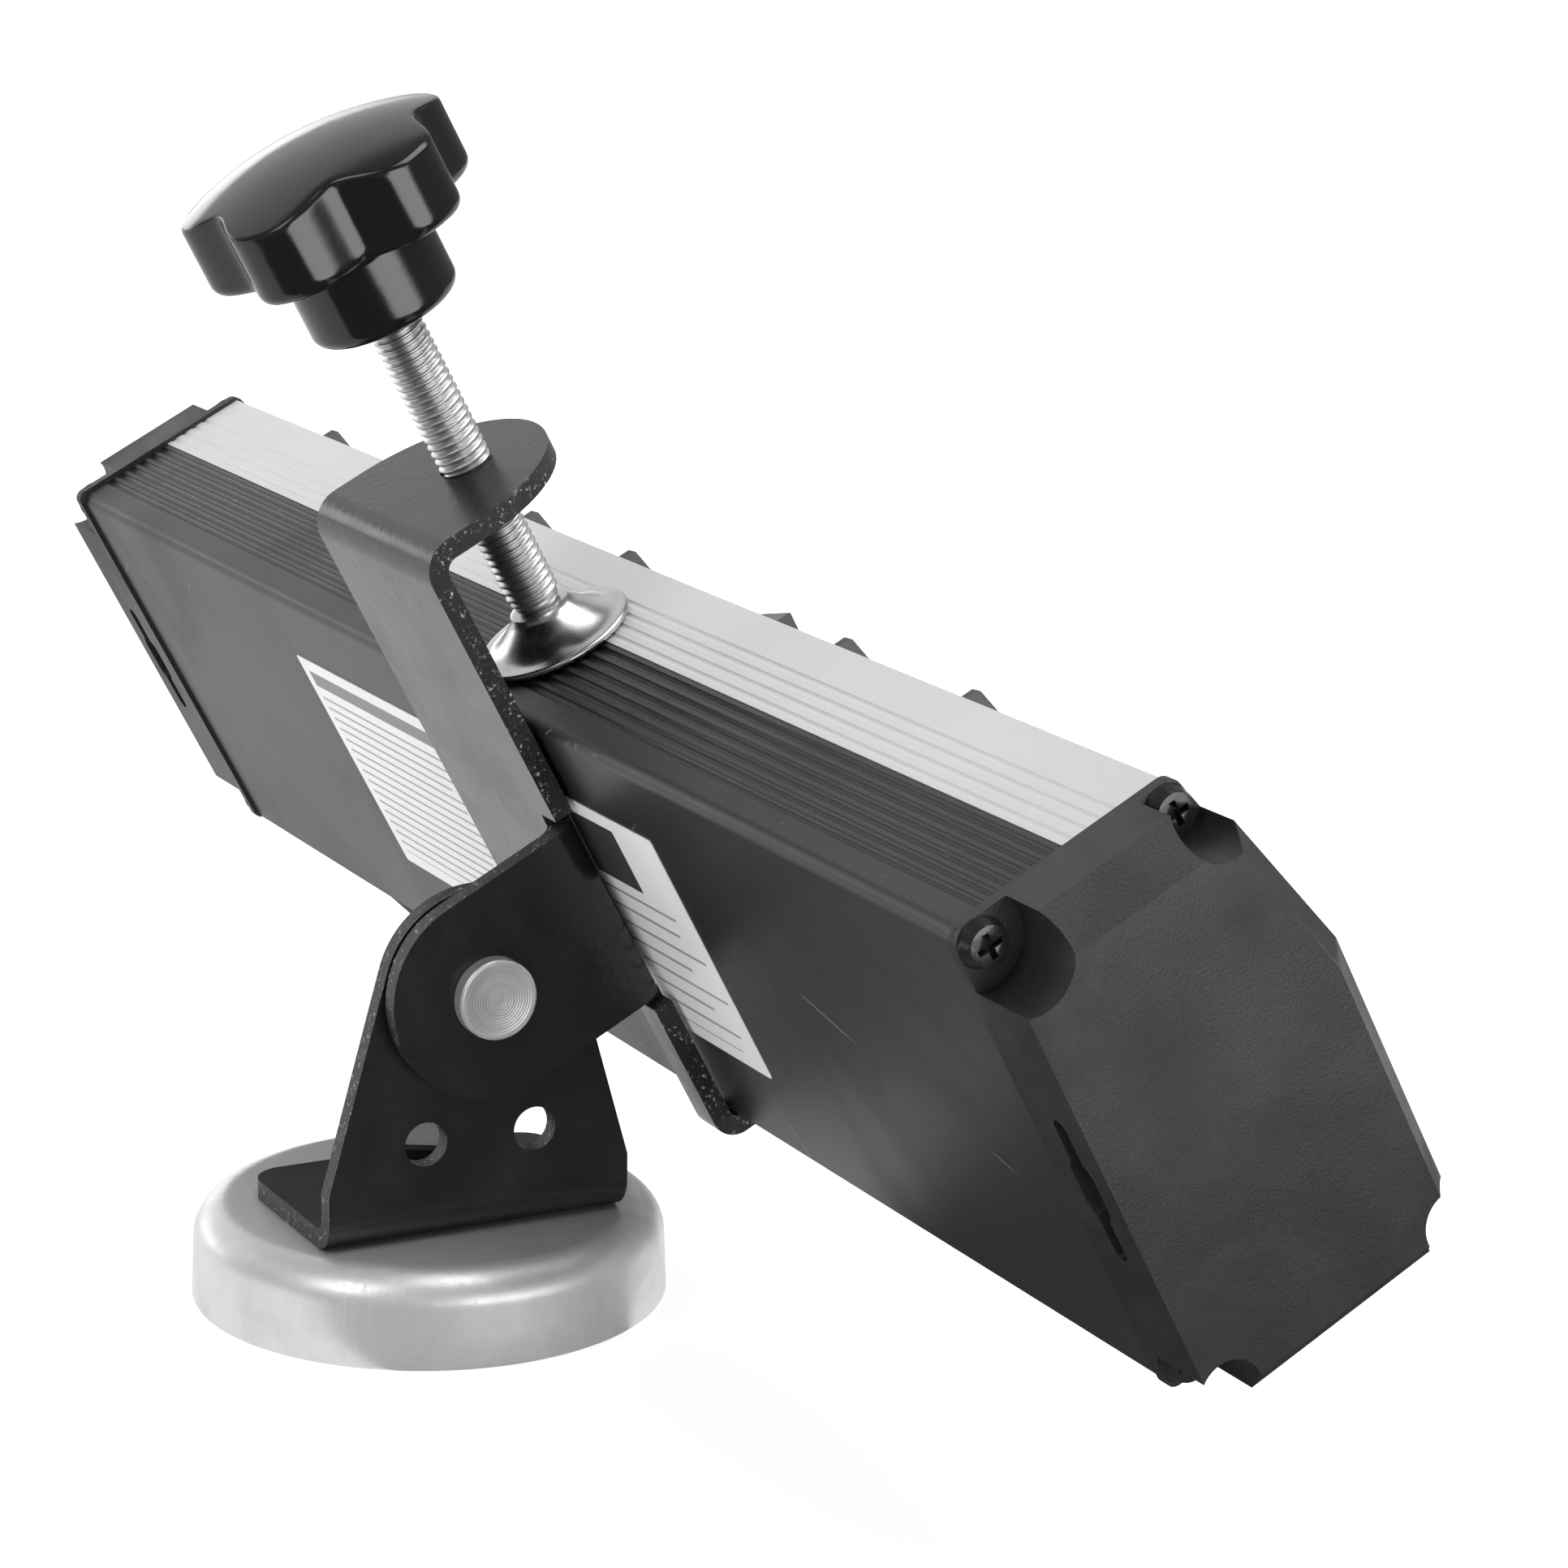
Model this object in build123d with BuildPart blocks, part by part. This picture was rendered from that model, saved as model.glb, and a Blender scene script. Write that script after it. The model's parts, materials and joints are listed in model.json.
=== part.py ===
from build123d import *
from math import cos, pi, radians, sin
import os

# Clamp-on mains outlet strip on a magnetic stand.
# Frame: +Z up, origin at the centre of the magnet's bottom face, strip along X, outlets facing -Y.
# The strip and its clamp lean back about a rivet that runs along X. Inside the strip, places are
# given as x (along it), q (from its back face outwards to the outlets) and u (up from its top face).

# ---- driving dimensions, mm ----
LEAN = 28.0
PIVOT_Z = 51.6
PIVOT_Q = -24.3
PIVOT_U = -31.4

STRIP_NEAR = -140.5
STRIP_FAR = 172.0
STRIP_HEIGHT = 70.6
STRIP_TOP_DEPTH = 33.7
STRIP_DEPTH = 41.2
BEVEL_DROP = 27.0
WALL = 1.7
SEAM_Q = 18.2
SEAM_GAP = 0.3
GROOVE_PITCH = 2.2
GROOVE_RADIUS = 0.8

CAP_FLAT = 9.4
CAP_CHAMFER = 4.6
CAP_FLANGE = 2.0
CAP_WALL = 2.5
CAP_NOTCH = 4.6
CAP_WIDE_NOTCH = 6.5
CAP_LOW_CHAMFER = 2.4
CAP_LIP = 0.7
CAP_SCREW_HEAD_R = 3.4
CAP_SCREW_R = 1.5

OUTLET_X = (-76.4, -40.2, 30.2, 66.5, 102.8, 152.4)
OUTLET_U = -25.6
OUTLET_SIDE = 26.0
OUTLET_CORNER = 1.2
OUTLET_FRONT = 42.4
OUTLET_BACK = 21.0
OUTLET_GAP = 0.2

USB_WIDTH = 33.6
USB_HIGH = -8.0
USB_LOW = -16.4
USB_FLOOR = -41.0

MAGNET_R = 35.5
MAGNET_H = 14.2
SHEET = 3.0
BOLT_R = 4.0

PLATE_X = -18.9
PLATE_HALF = 23.7
PLATE_HEAD_R = 15.1
FOOT_END = 13.6
FIXING_Y = 8.6
FIXING_Z = 29.2
FIXING_R = 3.3

ARM_NEAR = -23.1
ARM_WIDTH = 41.4
ARM_OUTER = -4.0
ARM_TOP = 31.0
ARM_BOTTOM = -46.0
EAR_HALF = 15.3
FINGER_WIDTH = 6.0
HOOK_TOP = STRIP_HEIGHT + 0.2

RIVET_R = 4.0
RUNNING = 0.05
RIVET_HEAD_R = 6.0

SCREW_X = -1.2
SCREW_Q = 15.1
SCREW_R = 4.0
PAD_R = 12.0
PAD_U = 0.3
KNOB_U = 56.0
KNOB_LOBE_R = 21.0
KNOB_LOBES = 5
KNOB_TURN = 59.0

COS = cos(radians(LEAN))
SIN = sin(radians(LEAN))
OUT = Vector(0, -COS, SIN)
UP = Vector(0, SIN, COS)


def at(x, q, u):
    """A place in the leaning strip, in the frame of the whole object."""
    y = -(q - PIVOT_Q) * COS + (u - PIVOT_U) * SIN
    z = PIVOT_Z + (q - PIVOT_Q) * SIN + (u - PIVOT_U) * COS
    return Vector(x, y, z)


def section(x):
    """Cross-section plane: sketch in q and u, extrude towards -X."""
    return Plane(origin=at(x, 0, 0), x_dir=OUT, z_dir=(-1, 0, 0))


def deck(x, q, u):
    """Plane parallel to the strip's top: sketch in x and -q, extrude upwards."""
    return Plane(origin=at(x, q, u), x_dir=(1, 0, 0), z_dir=UP)


def front(x, q, u):
    """Plane parallel to the outlets' faces: sketch in x and u, extrude outwards."""
    return Plane(origin=at(x, q, u), x_dir=(1, 0, 0), z_dir=OUT)


def save(part, name):
    part.label = name
    export_step(part, f"parts/{name}.step")


def strip_outline(inset=0.0):
    """The strip's outline: top, slanted shoulder, front, bottom and back."""
    slope = (STRIP_DEPTH - STRIP_TOP_DEPTH) / BEVEL_DROP
    return [
        (inset, -inset),
        (STRIP_TOP_DEPTH - inset * (1 - slope), -inset),
        (STRIP_DEPTH - inset, -BEVEL_DROP - inset * slope),
        (STRIP_DEPTH - inset, -STRIP_HEIGHT + inset),
        (inset, -STRIP_HEIGHT + inset),
    ]


def diamond(side, corner):
    """A square turned onto its corner, with rounded corners."""
    RectangleRounded(side, side, corner, rotation=45)


def usb_outline(grow):
    """The USB module's outline: a rectangle with a sloping top edge, seen from the front."""
    half = USB_WIDTH / 2 + grow
    return [
        (-half, USB_HIGH + grow),
        (half, USB_LOW + grow),
        (half, USB_FLOOR - grow),
        (-half, USB_FLOOR - grow),
    ]


os.makedirs("parts", exist_ok=True)
STRIP_LENGTH = STRIP_FAR - STRIP_NEAR

# ======================= magnetic foot =======================
BOSS_R = 9.5
CAVITY_R = 32.0
CAVITY_H = 9.2
SHOULDER = 5.0
BORE_FLOOR = 5.5
with BuildPart() as magnet_cup:
    with BuildSketch(Plane.XZ):
        with BuildLine():
            Polyline(
                (0, BORE_FLOOR),
                (0, 0),
                (BOSS_R, 0),
                (BOSS_R, CAVITY_H),
                (CAVITY_R, CAVITY_H),
                (CAVITY_R, 0),
                (MAGNET_R, 0),
                (MAGNET_R - 0.2, MAGNET_H - SHOULDER),
            )
            RadiusArc((MAGNET_R - 0.2, MAGNET_H - SHOULDER), (MAGNET_R - SHOULDER, MAGNET_H), -SHOULDER)
            Polyline(
                (MAGNET_R - SHOULDER, MAGNET_H),
                (BOLT_R + RUNNING, MAGNET_H),
                (BOLT_R + RUNNING, BORE_FLOOR),
                (0, BORE_FLOOR),
            )
        make_face()
    revolve(axis=Axis.Z)
save(magnet_cup.part, "magnet_cup")

RING_INNER = 11.0
RING_OUTER = 30.5
RING_RECESS = 0.5
with BuildPart() as ring_magnet:
    with BuildSketch(Plane.XY.offset(RING_RECESS)):
        Circle(RING_OUTER)
        Circle(RING_INNER, mode=Mode.SUBTRACT)
    extrude(amount=CAVITY_H - RING_RECESS)
save(ring_magnet.part, "ring_magnet")

with BuildPart() as resin_seal:
    with BuildSketch(Plane.XY.offset(RING_RECESS)):
        Circle(CAVITY_R)
        Circle(RING_OUTER, mode=Mode.SUBTRACT)
        Circle(RING_INNER)
        Circle(BOSS_R, mode=Mode.SUBTRACT)
    extrude(amount=CAVITY_H - RING_RECESS)
save(resin_seal.part, "resin_seal")

# ---- bent steel bracket: foot on the magnet, upright plate with two fixing holes ----
BEND_OUT = 5.0
FOOT_TOP = MAGNET_H + SHEET
with BuildPart() as base_bracket:
    with BuildSketch(Plane.XZ.offset(-PLATE_HALF)):
        with BuildLine():
            Polyline(
                (PLATE_X, FOOT_TOP + BEND_OUT),
                (PLATE_X, MAGNET_H + BEND_OUT),
            )
            RadiusArc((PLATE_X, MAGNET_H + BEND_OUT), (PLATE_X + BEND_OUT, MAGNET_H), -BEND_OUT)
            Polyline(
                (PLATE_X + BEND_OUT, MAGNET_H),
                (FOOT_END, MAGNET_H),
                (FOOT_END, FOOT_TOP),
                (PLATE_X + BEND_OUT, FOOT_TOP),
            )
            RadiusArc(
                (PLATE_X + BEND_OUT, FOOT_TOP),
                (PLATE_X + SHEET, MAGNET_H + BEND_OUT),
                BEND_OUT - SHEET,
            )
            Polyline(
                (PLATE_X + SHEET, MAGNET_H + BEND_OUT),
                (PLATE_X + SHEET, FOOT_TOP + BEND_OUT),
                (PLATE_X, FOOT_TOP + BEND_OUT),
            )
        make_face()
    extrude(amount=2 * PLATE_HALF)
    with BuildSketch(Plane.YZ.offset(PLATE_X)):
        with Locations((0, PIVOT_Z)):
            Circle(PLATE_HEAD_R)
        with Locations((0, FOOT_TOP + BEND_OUT)):
            Rectangle(2 * PLATE_HALF, 2)
        make_hull()
    extrude(amount=SHEET)
    foot_corners = base_bracket.edges().filter_by(Axis.Z).group_by(Axis.X)[-1]
    fillet(foot_corners, 5)
    with BuildSketch(Plane.YZ.offset(PLATE_X)):
        with Locations((0, PIVOT_Z)):
            Circle(RIVET_R + RUNNING)
        with Locations((-FIXING_Y, FIXING_Z), (FIXING_Y, FIXING_Z)):
            Circle(FIXING_R)
    extrude(amount=SHEET, mode=Mode.SUBTRACT)
    with BuildSketch(Plane.XY.offset(MAGNET_H)):
        Circle(BOLT_R + 0.3)
    extrude(amount=SHEET, mode=Mode.SUBTRACT)
save(base_bracket.part, "base_bracket")

WASHER_H = 1.6
HEAD_H = 5.3
BOLT_REACH = 12.0
with BuildPart() as base_washer:
    with BuildSketch(Plane.XY.offset(FOOT_TOP)):
        Circle(8)
        Circle(BOLT_R + 0.3, mode=Mode.SUBTRACT)
    extrude(amount=WASHER_H)
save(base_washer.part, "base_washer")

with BuildPart() as base_bolt:
    with BuildSketch(Plane.XY.offset(FOOT_TOP + WASHER_H)):
        RegularPolygon(6.5, 6, major_radius=False)
    extrude(amount=HEAD_H)
    chamfer(base_bolt.faces().sort_by(Axis.Z)[-1].edges(), 0.6)
    with BuildSketch(Plane.XY.offset(FOOT_TOP + WASHER_H - BOLT_REACH)):
        Circle(BOLT_R)
    extrude(amount=BOLT_REACH)
save(base_bolt.part, "base_bolt")

# ======================= clamp frame =======================
BEND = 5.0
NOSE_Q = 5.9
LIP_END = 14.0
ARM_FAR = ARM_NEAR + ARM_WIDTH
HOOK_UNDER = -HOOK_TOP - SHEET
with BuildPart() as clamp_frame:
    # arm with the top plate bent over the strip
    with BuildSketch(section(ARM_FAR)):
        with BuildLine():
            FilletPolyline(
                (ARM_OUTER + SHEET, ARM_BOTTOM),
                (ARM_OUTER + SHEET, ARM_TOP - SHEET),
                (NOSE_Q + ARM_WIDTH / 2, ARM_TOP - SHEET),
                radius=BEND - SHEET,
            )
            Line((NOSE_Q + ARM_WIDTH / 2, ARM_TOP - SHEET), (NOSE_Q + ARM_WIDTH / 2, ARM_TOP))
            FilletPolyline(
                (NOSE_Q + ARM_WIDTH / 2, ARM_TOP),
                (ARM_OUTER, ARM_TOP),
                (ARM_OUTER, ARM_BOTTOM),
                radius=BEND,
            )
            Line((ARM_OUTER, ARM_BOTTOM), (ARM_OUTER + SHEET, ARM_BOTTOM))
        make_face()
    extrude(amount=ARM_WIDTH)
    # round nose of the top plate
    with BuildSketch(deck((ARM_NEAR + ARM_FAR) / 2, 0, ARM_TOP - SHEET)):
        with Locations((0, -NOSE_Q - ARM_WIDTH / 2)):
            Rectangle(ARM_WIDTH, ARM_WIDTH)
        with Locations((0, -NOSE_Q)):
            Circle(ARM_WIDTH / 2, mode=Mode.SUBTRACT)
    extrude(amount=SHEET, mode=Mode.SUBTRACT)
    # hook finger at the arm's near edge, turned under the strip
    with BuildSketch(section(ARM_NEAR + FINGER_WIDTH)):
        with BuildLine():
            FilletPolyline(
                (ARM_OUTER, ARM_BOTTOM + 1),
                (ARM_OUTER, HOOK_UNDER),
                (LIP_END, HOOK_UNDER),
                radius=4.0,
            )
            Line((LIP_END, HOOK_UNDER), (LIP_END, HOOK_UNDER + SHEET))
            FilletPolyline(
                (LIP_END, HOOK_UNDER + SHEET),
                (ARM_OUTER + SHEET, HOOK_UNDER + SHEET),
                (ARM_OUTER + SHEET, ARM_BOTTOM + 1),
                radius=1.0,
            )
            Line((ARM_OUTER + SHEET, ARM_BOTTOM + 1), (ARM_OUTER, ARM_BOTTOM + 1))
        make_face()
    extrude(amount=FINGER_WIDTH)
    # pivot ear, bent out of the arm's near edge
    with BuildSketch(section(ARM_NEAR + SHEET)):
        with Locations((PIVOT_Q, PIVOT_U)):
            Circle(EAR_HALF)
        with Locations(((PIVOT_Q + ARM_OUTER + SHEET) / 2, PIVOT_U)):
            Rectangle(ARM_OUTER + SHEET - PIVOT_Q, 2 * EAR_HALF)
    extrude(amount=SHEET)
    # bend fillet behind the ear and round outer corner
    with BuildSketch(deck(ARM_NEAR + SHEET, ARM_OUTER, PIVOT_U - EAR_HALF)):
        with BuildLine():
            Polyline((0, 2.5), (0, 0), (2.5, 0))
            RadiusArc((2.5, 0), (0, 2.5), 2.5)
        make_face()
    extrude(amount=2 * EAR_HALF)
    with BuildSketch(deck(ARM_NEAR, ARM_OUTER + SHEET, PIVOT_U - EAR_HALF)):
        with BuildLine():
            Polyline((0, 4.0), (0, 0), (4.0, 0))
            RadiusArc((4.0, 0), (0, 4.0), 4.0)
        make_face()
    extrude(amount=2 * EAR_HALF, mode=Mode.SUBTRACT)
    # relief notches at both ends of the ear's bend
    for notch_u, notch_x in ((PIVOT_U + EAR_HALF, 5.0), (PIVOT_U - EAR_HALF - 1.8, 3.0)):
        with BuildSketch(front(ARM_NEAR + notch_x / 2, ARM_OUTER, notch_u + 0.9)):
            Rectangle(notch_x, 1.8)
        extrude(amount=SHEET, mode=Mode.SUBTRACT)
    # screw and rivet holes
    with BuildSketch(deck(SCREW_X, SCREW_Q, ARM_TOP - SHEET)):
        Circle(SCREW_R + RUNNING)
    extrude(amount=SHEET, mode=Mode.SUBTRACT)
    with BuildSketch(section(ARM_NEAR + SHEET)):
        with Locations((PIVOT_Q, PIVOT_U)):
            Circle(RIVET_R)
    extrude(amount=SHEET, mode=Mode.SUBTRACT)
save(clamp_frame.part, "clamp_frame")

with BuildPart() as arm_liner:
    with BuildSketch(front((ARM_NEAR + ARM_FAR) / 2 + 2.5, ARM_OUTER + SHEET, -21.0)):
        RectangleRounded(ARM_WIDTH - 6, 40, 2)
    extrude(amount=0.75)
save(arm_liner.part, "arm_liner")

# ---- pivot rivet with its washers ----
EAR_BACK = ARM_NEAR + SHEET
FRICTION_H = PLATE_X - EAR_BACK - 0.3
PLATE_BACK = PLATE_X + SHEET
WAVE_H = 0.8
TAIL_X = PLATE_BACK + 0.3 + WAVE_H
with BuildPart() as pivot_rivet:
    with BuildSketch(Plane.YZ.offset(ARM_NEAR - 2.4)):
        with Locations((0, PIVOT_Z)):
            Circle(RIVET_HEAD_R)
    extrude(amount=2.4)
    chamfer(pivot_rivet.edges().group_by(Axis.X)[0], 0.35)
    with BuildSketch(Plane.YZ.offset(ARM_NEAR)):
        with Locations((0, PIVOT_Z)):
            Circle(RIVET_R)
    extrude(amount=TAIL_X - ARM_NEAR)
    with BuildSketch(Plane.YZ.offset(TAIL_X)):
        with Locations((0, PIVOT_Z)):
            Circle(5.6)
    extrude(amount=2.2, taper=25)
save(pivot_rivet.part, "pivot_rivet")

with BuildPart() as friction_washer:
    with BuildSketch(Plane.YZ.offset(EAR_BACK)):
        with Locations((0, PIVOT_Z)):
            Circle(11)
            Circle(RIVET_R, mode=Mode.SUBTRACT)
    extrude(amount=FRICTION_H)
save(friction_washer.part, "friction_washer")

with BuildPart() as spring_washer:
    with BuildSketch(Plane.YZ.offset(TAIL_X - WAVE_H)):
        with Locations((0, PIVOT_Z)):
            Circle(7.5)
            Circle(RIVET_R, mode=Mode.SUBTRACT)
    extrude(amount=WAVE_H)
save(spring_washer.part, "spring_washer")

# ======================= clamping screw, knob and pad =======================
TIP_R = 3.0
TIP_U = 3.4
SCREW_U = 6.6
SCREW_TOP = KNOB_U + 14.0
with BuildPart() as clamp_screw:
    with BuildSketch(deck(SCREW_X, SCREW_Q, SCREW_U)):
        Circle(SCREW_R)
    extrude(amount=SCREW_TOP - SCREW_U)
    with BuildSketch(deck(SCREW_X, SCREW_Q, TIP_U)):
        Circle(TIP_R)
    extrude(amount=SCREW_U - TIP_U)
save(clamp_screw.part, "clamp_screw")

INSERT_R = 6.5
INSERT_U = KNOB_U + 1.5
with BuildPart() as knob_insert:
    with BuildSketch(deck(SCREW_X, SCREW_Q, INSERT_U)):
        RegularPolygon(INSERT_R, 6)
        Circle(SCREW_R, mode=Mode.SUBTRACT)
    extrude(amount=SCREW_TOP - INSERT_U)
save(knob_insert.part, "knob_insert")

HUB_R = 11.4
RIM_U = KNOB_U + 12.6
RIM_TOP_U = KNOB_U + 23.4
LOBE_ROOT_R = 16.4
LOBE_R = 6.6
KNOB_TOP_U = KNOB_U + 27.5
DOME_DROP = KNOB_TOP_U - RIM_TOP_U
DOME_R = (KNOB_LOBE_R**2 + DOME_DROP**2) / (2 * DOME_DROP)
KNOB_AXIS = Axis(at(SCREW_X, SCREW_Q, 0), UP)
with BuildPart() as knob:
    # five-lobed disc, cut to a dome on top
    with BuildSketch(deck(SCREW_X, SCREW_Q, RIM_U)) as lobes:
        Circle(LOBE_ROOT_R)
        with PolarLocations(KNOB_LOBE_R - LOBE_R, KNOB_LOBES, start_angle=KNOB_TURN):
            Circle(LOBE_R)
        fillet(lobes.vertices(), 5.0)
    extrude(amount=KNOB_TOP_U - RIM_U)
    with Locations(deck(SCREW_X, SCREW_Q, KNOB_TOP_U - DOME_R).location):
        Sphere(DOME_R, mode=Mode.INTERSECT)
    # hub under the disc
    with BuildSketch(deck(SCREW_X, SCREW_Q, KNOB_U)):
        Circle(HUB_R)
    extrude(amount=RIM_U - KNOB_U)
    chamfer(knob.edges().sort_by(KNOB_AXIS)[0], 1.8)
    # pocket for the screw and its moulded-in insert
    with BuildSketch(deck(SCREW_X, SCREW_Q, KNOB_U)):
        Circle(SCREW_R)
    extrude(amount=SCREW_TOP - KNOB_U, mode=Mode.SUBTRACT)
    with BuildSketch(deck(SCREW_X, SCREW_Q, INSERT_U)):
        RegularPolygon(INSERT_R, 6)
    extrude(amount=SCREW_TOP - INSERT_U, mode=Mode.SUBTRACT)
save(knob.part, "knob")

PAD_COLLAR_U = 6.3
with BuildPart() as clamp_pad:
    with BuildSketch(section(SCREW_X)):
        with BuildLine():
            Polyline(
                (SCREW_Q, PAD_U),
                (SCREW_Q + PAD_R - 0.6, PAD_U),
                (SCREW_Q + PAD_R, PAD_U + 0.6),
                (SCREW_Q + PAD_R, PAD_U + 1.4),
            )
            ThreePointArc(
                (SCREW_Q + PAD_R, PAD_U + 1.4),
                (SCREW_Q + PAD_R * 0.74, PAD_U + 3.2),
                (SCREW_Q + 5.2, PAD_U + 4.2),
            )
            Polyline(
                (SCREW_Q + 5.2, PAD_U + 4.2),
                (SCREW_Q + 4.9, PAD_COLLAR_U),
                (SCREW_Q + TIP_R + RUNNING, PAD_COLLAR_U),
                (SCREW_Q + TIP_R + RUNNING, TIP_U - 0.3),
                (SCREW_Q, TIP_U - 0.3),
                (SCREW_Q, PAD_U),
            )
        make_face()
    revolve(axis=KNOB_AXIS)
save(clamp_pad.part, "clamp_pad")

# ======================= strip housings =======================
GROOVES = 6
RIDGES = 4
CHANNEL_R = 2.4
GLAND_X = 138.0
GLAND_Q = 8.2
GLAND_NECK_R = 5.3
GLAND_FLANGE_R = 6.3
INSET = 2.6
REAR_SCREWS = ((INSET, -INSET), (INSET, -STRIP_HEIGHT + INSET))
FRONT_SCREWS = ((STRIP_TOP_DEPTH - INSET + 0.5, -INSET), (STRIP_DEPTH - INSET, -STRIP_HEIGHT + INSET))
SCREW_PLACES = REAR_SCREWS + FRONT_SCREWS
OUTWARD = Axis(at(0, 0, 0), OUT)
with BuildPart() as rear_housing:
    with BuildSketch(section(STRIP_FAR)) as rear_profile:
        with BuildLine():
            Polyline(*strip_outline(), close=True)
        make_face()
        fillet(rear_profile.vertices().sort_by(OUTWARD)[0:2], 1.8)
        with BuildLine():
            Polyline(*strip_outline(WALL), close=True)
        make_face(mode=Mode.SUBTRACT)
        # everything beyond the seam belongs to the front housing
        with Locations((SEAM_Q + 20, -STRIP_HEIGHT / 2)):
            Rectangle(40, STRIP_HEIGHT + 2, mode=Mode.SUBTRACT)
        # tongues that the front housing slides over
        with Locations((SEAM_Q + 1, -WALL - 0.9), (SEAM_Q + 1, -STRIP_HEIGHT + WALL + 0.9)):
            Rectangle(7, 1.4)
        with Locations((SEAM_Q - 2, -WALL - 0.3), (SEAM_Q - 2, -STRIP_HEIGHT + WALL + 0.3)):
            Rectangle(1.4, 1.0)
        with Locations(*[(SEAM_Q - 1.4 - GROOVE_PITCH * i, 0.3) for i in range(GROOVES)]):
            Circle(GROOVE_RADIUS, mode=Mode.SUBTRACT)
        # channels that the end screws cut into
        with Locations(*REAR_SCREWS):
            Circle(CHANNEL_R)
            Circle(CAP_SCREW_R, mode=Mode.SUBTRACT)
    extrude(amount=STRIP_LENGTH)
    # outlet for the cord gland, and clearance for its flange through the screw channel
    with BuildSketch(deck(GLAND_X, GLAND_Q, -STRIP_HEIGHT - 1)):
        Circle(GLAND_NECK_R)
    extrude(amount=WALL + 2, mode=Mode.SUBTRACT)
    with BuildSketch(deck(GLAND_X, GLAND_Q, -STRIP_HEIGHT + WALL)):
        Circle(GLAND_FLANGE_R + 0.1)
    extrude(amount=5, mode=Mode.SUBTRACT)
save(rear_housing.part, "rear_housing")

SWITCH_X = 121.5
SWITCH_U = -52.0
RESET_X = 98.5
RESET_U = -56.5
LENS_X = (-60.0, 45.0)
LENS_U = -55.0
USB_X = -5.2
with BuildPart() as front_housing:
    with BuildSketch(section(STRIP_FAR)) as front_profile:
        with BuildLine():
            Polyline(*strip_outline(), close=True)
        make_face()
        fillet(front_profile.vertices().sort_by(OUTWARD)[2:], 1.2)
        with BuildLine():
            Polyline(*strip_outline(WALL), close=True)
        make_face(mode=Mode.SUBTRACT)
        with Locations((SEAM_Q + SEAM_GAP - 20, -STRIP_HEIGHT / 2)):
            Rectangle(40, STRIP_HEIGHT + 2, mode=Mode.SUBTRACT)
        with Locations(*[(SEAM_Q + 1.7 + GROOVE_PITCH * i, 0.6) for i in range(RIDGES)]):
            Circle(GROOVE_RADIUS, mode=Mode.SUBTRACT)
        with Locations(*FRONT_SCREWS):
            Circle(CHANNEL_R)
            Circle(CAP_SCREW_R, mode=Mode.SUBTRACT)
    extrude(amount=STRIP_LENGTH)
    # openings for outlets, USB module, switch, breaker button and lamps
    for x in OUTLET_X:
        with BuildSketch(front(x, OUTLET_BACK + 5, OUTLET_U)):
            diamond(OUTLET_SIDE + 2 * OUTLET_GAP, OUTLET_CORNER)
        extrude(amount=30, mode=Mode.SUBTRACT)
    with BuildSketch(front(USB_X, STRIP_DEPTH - 12, 0)):
        with BuildLine():
            Polyline(*usb_outline(OUTLET_GAP), close=True)
        make_face()
    extrude(amount=30, mode=Mode.SUBTRACT)
    with BuildSketch(front(SWITCH_X, STRIP_DEPTH - 5, SWITCH_U)):
        RectangleRounded(13.2, 19.4, 1.5)
    extrude(amount=10, mode=Mode.SUBTRACT)
    with BuildSketch(front(RESET_X, STRIP_DEPTH - 5, RESET_U)):
        Circle(5.6)
    extrude(amount=10, mode=Mode.SUBTRACT)
    for x in LENS_X:
        with BuildSketch(front(x, STRIP_DEPTH - 5, LENS_U)):
            Circle(2.5)
        extrude(amount=10, mode=Mode.SUBTRACT)
save(front_housing.part, "front_housing")


# ======================= end caps =======================

def notch_radius(q, u):
    """The notch at the upper back corner is wider than the other three."""
    return CAP_WIDE_NOTCH if q < 10 and u > -20 else CAP_NOTCH


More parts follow.
